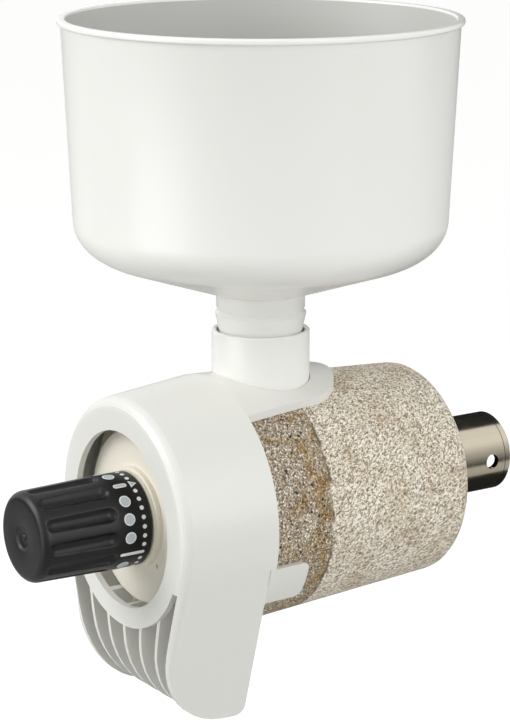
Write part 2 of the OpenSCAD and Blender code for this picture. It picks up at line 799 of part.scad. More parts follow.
// The tongue: the hood's top carried back over the stones and around the feed tube.
module tongue() {
    under = slip_fit;
    over = slip_fit + tongue_t;
    y_end = y_tongue + tongue_r + past;
    y_start = y_rim - 3;
    intersection() {
        turned([[stone_r(y_start) + under, y_start], [hood_r(y_start), y_start],
            [hood_r(y_rim), y_rim], [stone_r(y_end) + over, y_end], [stone_r(y_end) + under, y_end]]);
        linear_extrude(height = body_front_d) {
            translate([0, y_tongue]) circle(r = tongue_r);
            polygon([[-tongue_side, y_start], [tongue_side, y_start],
                [tongue_r, y_tongue], [-tongue_r, y_tongue]]);
        }
    }
}

// The clips that hug the fixed millstone on each side.
module clips() {
    for (side = [0, 1]) mirror([side, 0, 0]) intersection() {
        turned([[stone_r(y_rim) + slip_fit, y_skirt], [stone_r(y_rim) + slip_fit + clip_t, y_skirt],
            [stone_r(y_rim + clip_len) + slip_fit + clip_t, y_rim + clip_len],
            [stone_r(y_rim + clip_len) + slip_fit, y_rim + clip_len]]);
        rotate([90, 0, 90]) linear_extrude(height = hood_rear_d) clip_outline();
    }
}

// Side view of one clip, [y, z], with a round end.
module clip_outline() {
    high = -sin(clip_from) * hood_rear_d / 2;
    low = -sin(clip_to) * hood_rear_d / 2;
    translate([y_skirt, low]) square([clip_len + 2.4 - lug_r, high - low]);
    translate([y_skirt, low + lug_r]) square([clip_len + 2.4, high - low - 2 * lug_r]);
    for (z = [low + lug_r, high - lug_r]) translate([y_rim + clip_len - lug_r, z]) circle(r = lug_r, $fn = 32);
}

module feed_tube() {
    color("WhiteSmoke") translate([0, y_tube, 0]) rotate_extrude() polygon([
        [feed_r, tube_foot], [tube_neck_r, tube_foot], [tube_neck_r, tube_seat], [tube_r, tube_seat],
        [tube_r, tube_top - 0.5], [tube_r - 0.5, tube_top], [tube_in_r + 0.5, tube_top],
        [tube_in_r, tube_top - 0.5], [tube_in_r, spout_bottom - face_fit],
        [spout_r - 2 * hopper_wall, spout_bottom - face_fit], [feed_r, tube_seat - 2]]);
}

// The hopper: thin walls, rounded lower corner, shallow funnel, neck and spout.
module hopper() {
    inner_r = neck_d / 2 - hopper_wall;
    color("WhiteSmoke") translate([0, y_tube, 0]) rotate_extrude() polygon(concat(
        [[spout_r - hopper_wall, spout_bottom], [spout_r, spout_bottom], [spout_r, tube_top - 1],
            [stop_d / 2, neck_low], [neck_d / 2 - 0.9, neck_low + 1.2], [neck_d / 2, neck_low + 2.4],
            [neck_d / 2, neck_top]],
        [for (p = arc(corner_r - corner_w, hopper_low + corner_h, corner_w, corner_h, -corner_turn, 0)) p],
        [[hopper_r, hopper_top - 2.4], [hopper_r + lip_w, hopper_top - 1.6],
            [hopper_r + lip_w, hopper_top - 0.4], [hopper_r + lip_w - 0.6, hopper_top],
            [hopper_r - hopper_wall + 0.6, hopper_top], [hopper_r - hopper_wall, hopper_top - 0.8]],
        [for (p = arc(corner_r - corner_w, hopper_low + corner_h,
            corner_w - hopper_wall, corner_h - hopper_wall, 0, -corner_turn)) p],
        [[inner_r, neck_top + hopper_wall], [inner_r, neck_low + 2],
            [spout_r - hopper_wall, tube_top - 1]]));
}

stone_body();
fixed_stone();
coupling_sleeve();
rear_bush();
shaft_seal();
inner_bush();
pressure_spring();
chamber_washer();
drive_shaft();
shaft_circlip();
auger();
auger_pin();
rotor_carrier();
rotor_stone();
rotor_screws();
rotor_nut();
front_cover();
cover_screws();
adjusting_bush();
thrust_ball();
adjusting_spindle();
knob_insert();
knob_ring();
knob();
outlet_hood();
feed_tube();
hopper();
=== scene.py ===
"""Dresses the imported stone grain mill: finishes, turned pieces, printed scale and studio."""

import logging
import math
from dataclasses import dataclass
from enum import Enum
from functools import partial
from typing import Any, Dict, List, Optional, Sequence, Tuple

import bpy
from mathutils import Matrix, Vector


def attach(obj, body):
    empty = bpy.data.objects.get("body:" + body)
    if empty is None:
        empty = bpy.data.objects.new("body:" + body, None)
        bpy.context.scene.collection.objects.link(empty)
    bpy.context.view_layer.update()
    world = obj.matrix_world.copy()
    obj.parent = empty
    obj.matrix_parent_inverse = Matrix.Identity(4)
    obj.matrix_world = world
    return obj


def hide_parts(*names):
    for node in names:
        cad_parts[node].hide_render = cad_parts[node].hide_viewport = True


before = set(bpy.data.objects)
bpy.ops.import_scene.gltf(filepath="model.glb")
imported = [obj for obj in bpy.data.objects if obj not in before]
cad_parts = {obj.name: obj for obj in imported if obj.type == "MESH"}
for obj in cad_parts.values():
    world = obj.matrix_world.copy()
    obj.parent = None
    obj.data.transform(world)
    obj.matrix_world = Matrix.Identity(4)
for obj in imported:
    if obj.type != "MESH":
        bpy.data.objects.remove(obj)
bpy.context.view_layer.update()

MM = 0.001
WELD_MM = 0.002
CREASE_DEG = 38
LOG = logging.getLogger("grain_mill")

Colour = Tuple[float, float, float, float]
Point = Tuple[float, float, float]
Outline = List[Tuple[float, float]]


def linear(code: str, alpha: float = 1.0) -> Colour:
    """Turns an sRGB hex colour into the linear one that a shader takes.

    Args:
        code: The colour as six hex digits, with or without a leading hash.
        alpha: The colour's fourth value.

    Returns:
        The linear red, green, blue and alpha.
    """
    digits = code.lstrip("#")
    shares = [int(digits[i:i + 2], 16) / 255 for i in (0, 2, 4)]
    red, green, blue = (
        s / 12.92 if s <= 0.04045 else ((s + 0.055) / 1.055) ** 2.4 for s in shares
    )
    return (red, green, blue, alpha)


def add_node(
    tree: bpy.types.NodeTree,
    kind: str,
    inputs: Optional[Dict[Any, Any]] = None,
    stops: Sequence[Tuple[float, Colour]] = (),
    **settings: Any,
) -> bpy.types.Node:
    """Adds one node to a tree, with its settings, values and links.

    Args:
        tree: The tree that gets the node.
        kind: The node's type, by its identifier.
        inputs: A value, a socket, or a list of sockets for each named or numbered input.
        stops: The stops of a colour ramp, from left to right.
        settings: The node's own properties.

    Returns:
        The new node.
    """
    made = tree.nodes.new(kind)
    for key, value in settings.items():
        setattr(made, key, value)
    for key, value in (inputs or {}).items():
        socket = made.inputs[key]
        feeds = value if isinstance(value, list) else [value]
        for feed in feeds:
            if isinstance(feed, bpy.types.NodeSocket):
                tree.links.new(feed, socket)
            else:
                socket.default_value = feed
    for i, (place, colour) in enumerate(stops):
        ramp = made.color_ramp
        stop = ramp.elements[i] if i < 2 else ramp.elements.new(place)
        stop.position = place
        stop.color = colour
    return made


def maths(tree: bpy.types.NodeTree, operation: str, *values: Any) -> bpy.types.NodeSocket:
    """Adds a math node to a tree and returns its result."""
    made = add_node(tree, "ShaderNodeMath", dict(enumerate(values)), operation=operation)
    return made.outputs[0]


def remap(tree: bpy.types.NodeTree, value: bpy.types.NodeSocket, low: float = 0.0,
          high: float = 1.0, to_low: Any = 0.0, to_high: Any = 1.0) -> bpy.types.NodeSocket:
    """Adds a node that maps one range to another, and returns the mapped value."""
    inputs = dict(enumerate((value, low, high, to_low, to_high)))
    return add_node(tree, "ShaderNodeMapRange", inputs).outputs[0]


def blend(tree: bpy.types.NodeTree, share: bpy.types.NodeSocket, first: Any, second: Any,
          kind: str = "MIX") -> bpy.types.NodeSocket:
    """Adds a node that mixes two colours, and returns the mixed one."""
    inputs = {0: share, 6: first, 7: second}
    made = add_node(tree, "ShaderNodeMix", inputs, data_type="RGBA", blend_type=kind)
    return made.outputs[2]


def start_tree(name: str, sockets: Dict[str, str]) -> Tuple[bpy.types.NodeTree, Dict[str, Any]]:
    """Starts a geometry tree with named inputs.

    Args:
        name: The tree's name.
        sockets: The type of each input, by its name.

    Returns:
        The tree, and the socket that hands out each input.
    """
    tree = bpy.data.node_groups.new(name, "GeometryNodeTree")
    for label, kind in sockets.items():
        tree.interface.new_socket(name=label, in_out="INPUT", socket_type=kind)
    tree.interface.new_socket(name="Geometry", in_out="OUTPUT",
                              socket_type="NodeSocketGeometry")
    given = add_node(tree, "NodeGroupInput")
    return tree, {label: given.outputs[label] for label in sockets}


def grow(tree: bpy.types.NodeTree, start: bpy.types.Mesh,
         values: Dict[str, Any]) -> bpy.types.Mesh:
    """Runs a geometry tree on a mesh and keeps what it makes.

    Args:
        tree: The tree.
        start: The mesh that it starts from.
        values: The value of each named input.

    Returns:
        A plain mesh, free of the tree.
    """
    holder = bpy.data.objects.new(tree.name, start)
    bpy.context.scene.collection.objects.link(holder)
    modifier = holder.modifiers.new(tree.name, "NODES")
    modifier.node_group = tree
    for item in tree.interface.items_tree:
        if item.in_out == "INPUT" and item.name in values:
            modifier[item.identifier] = values[item.name]
    graph = bpy.context.evaluated_depsgraph_get()
    mesh = bpy.data.meshes.new_from_object(holder.evaluated_get(graph))
    holder.modifiers.remove(modifier)
    bpy.data.objects.remove(holder)
    return mesh


def arc(centre: Tuple[float, float], reach: Tuple[float, float], start: float, end: float,
        steps: int) -> Outline:
    """Returns points along part of an ellipse, with its angles in degrees."""
    turns = [math.radians(start + (end - start) * i / steps) for i in range(steps + 1)]
    return [(centre[0] + reach[0] * math.cos(t), centre[1] + reach[1] * math.sin(t))
            for t in turns]


def line(start: Tuple[float, float], end: Tuple[float, float], step: float) -> Outline:
    """Returns evenly spaced points along a line, about a step apart."""
    count = max(1, round(math.dist(start, end) / step))
    return [(start[0] + (end[0] - start[0]) * i / count,
             start[1] + (end[1] - start[1]) * i / count) for i in range(count + 1)]


def outline_mesh(name: str, outline: Outline) -> bpy.types.Mesh:
    """Makes a chain of points, each at its radius and its place along the axis, in metres."""
    mesh = bpy.data.meshes.new(name)
    mesh.from_pydata([(r * MM, along * MM, 0) for r, along in outline],
                     [(i, i + 1) for i in range(len(outline) - 1)], [])
    return mesh


class Finish:
    """A surface finish that makes its material once and hands it out again."""

    name: str

    def shade(self, tree: bpy.types.NodeTree, shader: bpy.types.Node) -> None:
        """Sets up the shader. Each finish has its own way."""
        raise NotImplementedError

    def material(self) -> bpy.types.Material:
        """Returns this finish's material, made on the first call."""
        known = bpy.data.materials.get(self.name)
        if known is not None:
            return known
        made = bpy.data.materials.new(self.name)
        made.use_nodes = True
        tree = made.node_tree
        tree.nodes.clear()
        shader = add_node(tree, "ShaderNodeBsdfPrincipled")
        add_node(tree, "ShaderNodeOutputMaterial", {"Surface": shader.outputs["BSDF"]})
        self.shade(tree, shader)
        return made


def object_mm(tree: bpy.types.NodeTree) -> bpy.types.NodeSocket:
    """Returns the piece's own coordinates in millimetres."""
    place = add_node(tree, "ShaderNodeTexCoord")
    scaled = add_node(tree, "ShaderNodeVectorMath", {0: place.outputs["Object"], 3: 1 / MM},
                      operation="SCALE")
    return scaled.outputs[0]


@dataclass(frozen=True)
class MouldedPlastic(Finish):
    """Injection-moulded ABS.

    An even body colour under a smooth skin: broad soft highlights, slightly wavy where the
    mould was polished by hand, and a shine that varies a little with how the melt flowed.
    """

    name: str
    colour: str
    roughness: float = 0.28
    waviness: float = 0.03
    wave_mm: float = 60.0
    ior: float = 1.5
    grain: float = 0.0
    grain_mm: float = 0.35

    def shade(self, tree: bpy.types.NodeTree, shader: bpy.types.Node) -> None:
        """Sets the plastic's colour, gloss and waviness."""
        shader.inputs["Base Color"].default_value = linear(self.colour)
        shader.inputs["IOR"].default_value = self.ior
        place = object_mm(tree)
        waves = add_node(tree, "ShaderNodeTexNoise",
                         {"Vector": place, "Scale": 1 / self.wave_mm, "Detail": 0.0})
        shine = remap(tree, waves.outputs[0], to_low=self.roughness * 0.92,
                      to_high=self.roughness * 1.08)
        tree.links.new(shine, shader.inputs["Roughness"])
        bump = add_node(tree, "ShaderNodeBump",
                        {"Height": waves.outputs[0], "Strength": self.waviness,
                         "Distance": 1.0 * MM})
        if self.grain > 0:
            spark = add_node(tree, "ShaderNodeTexNoise",
                             {"Vector": place, "Scale": 1 / self.grain_mm, "Detail": 2.0})
            bump = add_node(tree, "ShaderNodeBump",
                            {"Height": spark.outputs[0], "Strength": self.grain,
                             "Distance": 0.05 * MM, "Normal": bump.outputs[0]})
        tree.links.new(bump.outputs[0], shader.inputs["Normal"])


@dataclass(frozen=True)
class CastStone(Finish):
    """Cast millstone: hard mineral grains in cement, ground smooth on a wheel.

    The body is pale cement with a close mottle of grey-brown slivers about half a
    millimetre wide. The grinding end, past the joint, is darker and coarser: tan cement
    with white and dark grains, rusty clouds, and small round pores.
    """

    name: str
    joint_mm: float = -72.6
    wander_mm: float = 2.6
    rust_reach_mm: float = 24.0
    sliver_mm: float = 0.78
    sliver_lean: float = -28.0
    sliver_squeeze: Point = (1.0, 0.62, 1.2)
    grain_mm: float = 0.95
    crystal_mm: float = 0.55
    pore_mm: float = 4.0
    light_tones: Tuple[str, ...] = ("7E6F59", "AC9C83", "E4DAC6", "FAF6EB")
    dark_tones: Tuple[str, ...] = ("1F1C1A", "5F574C", "9A8A72", "BFB39D", "FFFDF8")
    warm_tone: str = "C9B48E"
    pore_tone: str = "221D19"
    rust: str = "E3CBA2"
    seam: str = "4E4234"

    def shade(self, tree: bpy.types.NodeTree, shader: bpy.types.Node) -> None:
        """Builds both mottles and joins them along a wandering seam."""
        add = partial(add_node, tree)
        place = object_mm(tree)
        # The body's slivers: a stretched noise, bent on itself so that they curl.
        leant = add("ShaderNodeVectorRotate",
                    {"Vector": place, "Angle": math.radians(self.sliver_lean)},
                    rotation_type="X_AXIS")
        drawn_out = add("ShaderNodeVectorMath", {0: leant.outputs[0], 1: self.sliver_squeeze},
                        operation="MULTIPLY")
        slivers = add("ShaderNodeTexNoise",
                      {"Vector": drawn_out.outputs[0], "Scale": 1 / self.sliver_mm,
                       "Detail": 1.5, "Roughness": 0.55, "Distortion": 1.3})
        light = add("ShaderNodeValToRGB", {0: slivers.outputs[0]}, stops=[
            (0.38, linear(self.light_tones[0])), (0.45, linear(self.light_tones[1])),
            (0.51, linear(self.light_tones[2])), (0.58, linear(self.light_tones[3])),
        ])
        # Clouds of warmer cement, a centimetre or two across.
        clouds = add("ShaderNodeTexNoise",
                     {"Vector": place, "Scale": 0.075, "Detail": 3.0, "Roughness": 0.6})
        warmth = remap(tree, clouds.outputs[0], 0.44, 0.7, to_high=0.45)
        body = blend(tree, warmth, light.outputs[0], linear(self.warm_tone), "MULTIPLY")
        # The grinding end's grains: single crystals in a mottled cement.
        mottle = add("ShaderNodeTexNoise",
                     {"Vector": place, "Scale": 1 / self.grain_mm, "Detail": 2.0,
                      "Roughness": 0.7, "Distortion": 1.1})
        crystals = add("ShaderNodeTexVoronoi", {"Vector": place, "Scale": 1 / self.crystal_mm})
        drawn = add("ShaderNodeSeparateColor", {0: crystals.outputs["Color"]})
        mixed = add("ShaderNodeMix", {0: 0.36, 2: mottle.outputs[0], 3: drawn.outputs[0]},
                    data_type="FLOAT")
        dark = add("ShaderNodeValToRGB", {0: mixed.outputs[0]}, stops=[
            (0.26, linear(self.dark_tones[0])), (0.36, linear(self.dark_tones[1])),
            (0.45, linear(self.dark_tones[2])), (0.62, linear(self.dark_tones[3])),
            (0.72, linear(self.dark_tones[4])),
        ])
        # Rust gathers towards the joint.
        length = add("ShaderNodeSeparateXYZ", {0: place})
        near = remap(tree, length.outputs[1], self.joint_mm - self.rust_reach_mm, self.joint_mm,
                     -0.14, 0.05)
        patch = add("ShaderNodeTexNoise", {"Vector": place, "Scale": 0.16, "Detail": 3.0})
        rusty = maths(tree, "ADD", patch.outputs[0], near)
        rust = remap(tree, rusty, 0.4, 0.62)
        stained = blend(tree, rust, dark.outputs[0], linear(self.rust), "MULTIPLY")
        pores = add("ShaderNodeTexVoronoi", {"Vector": place, "Scale": 1 / self.pore_mm})
        pore = remap(tree, pores.outputs["Distance"], 0.12, 0.17, 1.0, 0.0)
        grinding = blend(tree, pore, stained, linear(self.pore_tone))
        # The joint wanders by a millimetre or two, and a thin dark seam runs along parts of it.
        wander = add("ShaderNodeTexNoise", {"Vector": place, "Scale": 0.22, "Detail": 4.0})
        shift = maths(tree, "MULTIPLY_ADD", wander.outputs[0], self.wander_mm, length.outputs[1])
        past = maths(tree, "SUBTRACT", shift, self.joint_mm + self.wander_mm / 2)
        side = remap(tree, past, -0.5, 0.4)
        both = blend(tree, side, grinding, body)
        off = maths(tree, "ABSOLUTE", past)
        thin = remap(tree, off, 0.2, 0.75, 1.0, 0.0)
        broken = remap(tree, patch.outputs[0], 0.38, 0.52, to_high=0.85)
        seam = maths(tree, "MULTIPLY", thin, broken)
        colour = blend(tree, seam, both, linear(self.seam))
        tree.links.new(colour, shader.inputs["Base Color"])
        shader.inputs["Roughness"].default_value = 0.78
        rough = add("ShaderNodeMix", {0: side, 2: mottle.outputs[0],
                                      3: slivers.outputs[0]}, data_type="FLOAT")
        height = maths(tree, "MULTIPLY_ADD", pore, -0.8, rough.outputs[0])
        bump = add("ShaderNodeBump", {"Height": height, "Strength": 0.6,
                                      "Distance": 0.45 * MM})
        tree.links.new(bump.outputs[0], shader.inputs["Normal"])


@dataclass(frozen=True)
class TurnedMetal(Finish):
    """Metal turned on a lathe about the mill axis.

    Fine feed lines run round the piece and pull each highlight out along the axis. Near the end,
    where the piece has one, a thin dark ring is painted: painted shade of a small step there.
    Where a bore is given, it is painted dark: painted shade inside it. Real feed lines are about
    a tenth of a millimetre apart; these are drawn coarser, so that they show.
    """

    name: str
    colour: str
    roughness: float = 0.24
    line_mm: float = 0.5
    line_depth: float = 0.14
    ring_mm: float = 1000.0
    ring_half_w: float = 0.16
    ring_shade_colour: str = "5A564C"
    bore_mm: float = 0.0
    bore_shade_colour: str = "1F1C18"

    def shade(self, tree: bpy.types.NodeTree, shader: bpy.types.Node) -> None:
        """Sets the metal's colour and its feed lines."""
        add = partial(add_node, tree)
        shader.inputs["Metallic"].default_value = 1.0
        place = object_mm(tree)
        squeezed = add("ShaderNodeVectorMath",
                       {0: place, 1: (0.02, 1 / self.line_mm, 0.02)}, operation="MULTIPLY")
        lines = add("ShaderNodeTexNoise",
                    {"Vector": squeezed.outputs[0], "Scale": 1.0, "Detail": 2.0})
        length = add("ShaderNodeSeparateXYZ", {0: place})
        # A thin dark ring near the end: painted shade of a small step there.
        on_shade_ring = maths(tree, "COMPARE", length.outputs[1], self.ring_mm, self.ring_half_w)
        shade_ringed = blend(tree, on_shade_ring, linear(self.colour), linear(self.ring_shade_colour))
        # Inside its bore the metal is painted near-black: painted shade in the bore.
        across = add("ShaderNodeCombineXYZ", {0: length.outputs[0], 2: length.outputs[2]})
        radius = add("ShaderNodeVectorMath", {0: across.outputs[0]}, operation="LENGTH")
        in_shaded_bore = maths(tree, "LESS_THAN", radius.outputs["Value"], self.bore_mm)
        colour = blend(tree, in_shaded_bore, shade_ringed, linear(self.bore_shade_colour))
        tree.links.new(colour, shader.inputs["Base Color"])
        bump = add("ShaderNodeBump", {"Height": lines.outputs[0], "Strength": self.line_depth,
                                      "Distance": 0.05 * MM})
        tree.links.new(bump.outputs[0], shader.inputs["Normal"])
        rough = remap(tree, lines.outputs[0], 0.3, 0.7, self.roughness * 0.8,
                      self.roughness * 1.25)
        tree.links.new(rough, shader.inputs["Roughness"])


@dataclass(frozen=True)
class CardFinish(Finish):
    """A studio card that polished surfaces mirror: black low down, bright above.

    It is black up to one height in metres, full from another, and brightens evenly between.
    """

    name: str
    black_to: float
    full_from: float
    strength: float = 1.0

    def shade(self, tree: bpy.types.NodeTree, shader: bpy.types.Node) -> None:
        """Shades the card by its height in metres."""
        place = add_node(tree, "ShaderNodeTexCoord")
        height = add_node(tree, "ShaderNodeSeparateXYZ", {0: place.outputs["Object"]})
        glow = remap(tree, height.outputs[2], self.black_to, self.full_from,
                     to_high=self.strength)
        shader.inputs["Base Color"].default_value = linear("#000000")
        shader.inputs["Roughness"].default_value = 1.0
        shader.inputs["Emission Color"].default_value = (1, 1, 1, 1)
        tree.links.new(glow, shader.inputs["Emission Strength"])


@dataclass(frozen=True)
class PlainFinish(Finish):
    """Rubber, felt or printed ink. The eye sees one dull colour, a little uneven."""

    name: str
    colour: str
    roughness: float = 0.6
    fuzz_mm: float = 0.5
    fuzz: float = 0.1

    def shade(self, tree: bpy.types.NodeTree, shader: bpy.types.Node) -> None:
        """Sets the colour and a fine unevenness."""
        shader.inputs["Base Color"].default_value = linear(self.colour)
        shader.inputs["Roughness"].default_value = self.roughness
        noise = add_node(tree, "ShaderNodeTexNoise",
                         {"Vector": object_mm(tree), "Scale": 1 / self.fuzz_mm, "Detail": 2.0})
        bump = add_node(tree, "ShaderNodeBump",
                        {"Height": noise.outputs[0], "Strength": self.fuzz,
                         "Distance": 0.1 * MM})
        tree.links.new(bump.outputs[0], shader.inputs["Normal"])


WHITE_ABS = MouldedPlastic("white_moulded_plastic", "#F1F1ED", roughness=0.26)
# A darker copy of the white plastic for the hood: painted shade, so the hood reads dimmer than
# the hopper in the same light.
HOOD_SHADED_ABS = MouldedPlastic("white_hood_plastic_painted_shade", "#E2E2DD", roughness=0.32)
# A greyer copy of the white plastic for the hopper's inside wall: painted shade, so the inside
# reads darker than the outside.
HOPPER_INSIDE_SHADE = MouldedPlastic("satin_white_plastic_painted_shade", "#C4C4C0", roughness=0.5)
CREAM_ABS = MouldedPlastic("cream_moulded_plastic", "#EDE8DA", roughness=0.38)
BLACK_ABS = MouldedPlastic("black_moulded_plastic", "#0B0B0D", roughness=0.36, ior=1.4,
                           grain=0.1, grain_mm=0.4)
STONE = CastStone("ground_cast_stone")
NICKEL = TurnedMetal("turned_nickel_steel", "#CFC6B2", roughness=0.2)
# The sleeve's thin dark end ring and its dark bore are painted shade.
SLEEVE_NICKEL = TurnedMetal("turned_nickel_sleeve", "#CFC6B2", roughness=0.17, ring_mm=34.2,
                            bore_mm=14.5)
SPRING_STEEL = TurnedMetal("hardened_spring_steel", "#8C8D90", roughness=0.3)
BRONZE = TurnedMetal("sintered_bronze", "#B08A55", roughness=0.4)
BRASS = TurnedMetal("turned_brass", "#CBAA63", roughness=0.25)
SEAL_RUBBER = PlainFinish("moulded_seal_rubber", "#202022", roughness=0.55)
FELT = PlainFinish("pressed_felt", "#B5A88C", roughness=0.95, fuzz=0.6)
BLACK_CARD = CardFinish("black_card", 1.0, 2.0)
SHADED_CARD = CardFinish("shaded_card", -0.26, 0.46)
BRIGHT_CARD = CardFinish("bright_card", -1.0, -0.9, strength=2.3)
MARK_INK = PlainFinish("pale_scale_ink", "#B9C1C6", roughness=0.5, fuzz=0.02)
RIM_INK = PlainFinish("white_scale_ink", "#E9ECEC", roughness=0.5, fuzz=0.02)


class Body(Enum):
    """The moving groups that the turned and printed pieces ride on."""

    ADJUSTER = "adjuster"
    HOPPER = "hopper"


def dress(node: str, finish: Finish) -> None:
    """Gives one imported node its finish."""
    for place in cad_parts[node].material_slots:
        place.material = finish.material()
    LOG.info("dressed %s with %s", node, finish.name)


def finished_piece(name: str, mesh: bpy.types.Mesh, body: Body) -> bpy.types.Object:
    """Puts a finished mesh into the scene and fastens it to its body.

    Args:
        name: The piece's name.
        mesh: Its mesh, already in place.
        body: The moving group that it rides on.

    Returns:
        The new object, at the origin and unturned.
    """
    mesh.name = name
    while mesh.materials and mesh.materials[0] is None:
        mesh.materials.pop(index=0)
    piece = bpy.data.objects.new(name, mesh)
    bpy.context.scene.collection.objects.link(piece)
    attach(piece, body.value)
    LOG.info("made %s on %s: %d faces", name, body.value, len(mesh.polygons))
    return piece


FLUTE_SOCKETS = {
    "Flutes": "NodeSocketInt",
    "Flute Radius": "NodeSocketFloat",
    "Flute Reach": "NodeSocketFloat",
    "Flute Front": "NodeSocketFloat",
    "Flute Rear": "NodeSocketFloat",
    "First Flute": "NodeSocketFloat",
    "Softness": "NodeSocketFloat",
}


def turned_tree(name: str, upright: bool, fluted: bool) -> bpy.types.NodeTree:
    """Builds the tree that turns an outline into a closed piece.

    A grid has one row for each point of the outline and one column for each step of the
    turn. Every point takes its radius and its place along the axis from the outline.

    Args:
        name: The tree's name.
        upright: True for an axis that stands up, False for one that lies along the mill.
        fluted: True if grip flutes are cut along the piece.

    Returns:
        The tree.
    """
    sockets = {
        "Outline": "NodeSocketGeometry", "Stations": "NodeSocketInt",
        "Turns": "NodeSocketInt", "Axis Place": "NodeSocketVector",
        "Inner Stations": "NodeSocketInt", "Finish": "NodeSocketMaterial",
        "Inner Finish": "NodeSocketMaterial",
    }
    tree, given = start_tree(name, {**sockets, **(FLUTE_SOCKETS if fluted else {})})
    add = partial(add_node, tree)
    columns = maths(tree, "ADD", given["Turns"], 1.0)
    grid = add("GeometryNodeMeshGrid", {"Size X": 1.0, "Size Y": 1.0,
                                        "Vertices X": given["Stations"],
                                        "Vertices Y": columns})
    index = add("GeometryNodeInputIndex")
    station = add("FunctionNodeIntegerMath", {0: index.outputs[0], 1: columns},
                  operation="DIVIDE_FLOOR")
    column = add("FunctionNodeIntegerMath", {0: index.outputs[0], 1: columns},
                 operation="MODULO")
    corner = add("GeometryNodeInputPosition")
    spot = add("GeometryNodeSampleIndex",
               {"Geometry": given["Outline"], "Value": corner.outputs[0],
                "Index": station.outputs[0]}, data_type="FLOAT_VECTOR")
    outline = add("ShaderNodeSeparateXYZ", {0: spot.outputs[0]})
    radius, along = outline.outputs[0], outline.outputs[1]
    share = maths(tree, "DIVIDE", column.outputs[0], given["Turns"])
    angle = maths(tree, "MULTIPLY", share, math.tau)
    cos = maths(tree, "COSINE", angle)
    sin = maths(tree, "SINE", angle)
    if fluted:
        radius = flute_radius(tree, given, angle, radius, along)
    x = maths(tree, "MULTIPLY", radius, cos)
    side = maths(tree, "MULTIPLY", radius, sin)
    if upright:
        point = add("ShaderNodeCombineXYZ", {0: x, 1: side, 2: along})
    else:
        down = maths(tree, "MULTIPLY", side, -1.0)
        point = add("ShaderNodeCombineXYZ", {0: x, 1: along, 2: down})
    moved = add("ShaderNodeVectorMath", {0: point.outputs[0], 1: given["Axis Place"]},
                operation="ADD")
    bent = add("GeometryNodeSetPosition", {"Geometry": grid.outputs["Mesh"],
                                           "Position": moved.outputs[0]})
    inner = add("FunctionNodeCompare", {2: station.outputs[0], 3: given["Inner Stations"]},
                data_type="INT", operation="LESS_THAN")
    at_points = add("GeometryNodeFieldOnDomain", {0: inner.outputs[0]},
                    data_type="BOOLEAN", domain="POINT")
    kept = add("GeometryNodeStoreNamedAttribute",
               {"Geometry": bent.outputs[0], "Name": "inner", "Value": at_points.outputs[0]},
               data_type="BOOLEAN", domain="FACE")
    welded = add("GeometryNodeMergeByDistance", {"Geometry": kept.outputs[0],
                                                 "Distance": WELD_MM * MM})
    edges = add("GeometryNodeInputMeshEdgeAngle")
    crisp = add("FunctionNodeCompare", {0: edges.outputs[0], 1: math.radians(CREASE_DEG)},
                data_type="FLOAT", operation="LESS_THAN")
    even = add("GeometryNodeSetShadeSmooth", {0: welded.outputs[0], "Shade Smooth": True})
    smooth = add("GeometryNodeSetShadeSmooth",
                 {0: even.outputs[0], "Shade Smooth": crisp.outputs[0]}, domain="EDGE")
    real = add("GeometryNodeRealizeInstances", {"Geometry": smooth.outputs[0]})
    outside = add("GeometryNodeSetMaterial", {"Geometry": real.outputs[0],
                                              "Material": given["Finish"]})
    where = add("GeometryNodeInputNamedAttribute", {"Name": "inner"}, data_type="BOOLEAN")
    inside = add("GeometryNodeSetMaterial",
                 {"Geometry": outside.outputs[0], "Selection": where.outputs[0],
                  "Material": given["Inner Finish"]})
    bare = add("GeometryNodeRemoveAttribute", {"Geometry": inside.outputs[0], "Name": "inner"})
    add("NodeGroupOutput", {"Geometry": bare.outputs[0]})
    return tree


def flute_radius(tree: bpy.types.NodeTree, given: Dict[str, Any],
                 angle: bpy.types.NodeSocket, radius: bpy.types.NodeSocket,
                 along: bpy.types.NodeSocket) -> bpy.types.NodeSocket:
    """Adds the part of a tree that cuts round-ended flutes with soft borders.

    Args:
        tree: The tree.
        given: Its named inputs.
        angle: How far round the piece a point lies.
        radius: The uncut radius there.
        along: The point's place along the axis.

    Returns:
        The radius after the cut.
    """
    add = partial(add_node, tree)
    step = maths(tree, "DIVIDE", math.tau, given["Flutes"])
    half = maths(tree, "MULTIPLY", step, 0.5)
    turned = maths(tree, "SUBTRACT", angle, given["First Flute"])
    shifted = maths(tree, "ADD", turned, half)
    wrapped = maths(tree, "FLOORED_MODULO", shifted, step)
    off = maths(tree, "SUBTRACT", wrapped, half)
    cos = maths(tree, "COSINE", off)
    sin = maths(tree, "SINE", off)
    ahead = maths(tree, "MULTIPLY", cos, given["Flute Reach"])
    aside = maths(tree, "MULTIPLY", sin, given["Flute Reach"])
    # Past its two ends the cutter is a ball.
    held = maths(tree, "MAXIMUM", along, given["Flute Front"])
    held = maths(tree, "MINIMUM", held, given["Flute Rear"])
    over = maths(tree, "SUBTRACT", along, held)
    over2 = maths(tree, "MULTIPLY", over, over)
    gone = maths(tree, "MULTIPLY_ADD", aside, aside, over2)
    full = maths(tree, "MULTIPLY", given["Flute Radius"], given["Flute Radius"])
    left = maths(tree, "SUBTRACT", full, gone)
    sign = maths(tree, "SIGN", left)
    size = maths(tree, "ABSOLUTE", left)
    root = maths(tree, "SQRT", size)
    reach = maths(tree, "MULTIPLY", root, sign)
    cut = maths(tree, "SUBTRACT", ahead, reach)
    return maths(tree, "SMOOTH_MIN", radius, cut, given["Softness"])


@dataclass
class MillStones:
    """The stone body, the fixed millstone in front of it and the running stone."""

    nodes: Tuple[str, ...] = ("stone_body", "fixed_stone", "rotor_stone")

    def build(self) -> None:
        """Dresses the three stones."""
        for node in self.nodes:
            dress(node, STONE)


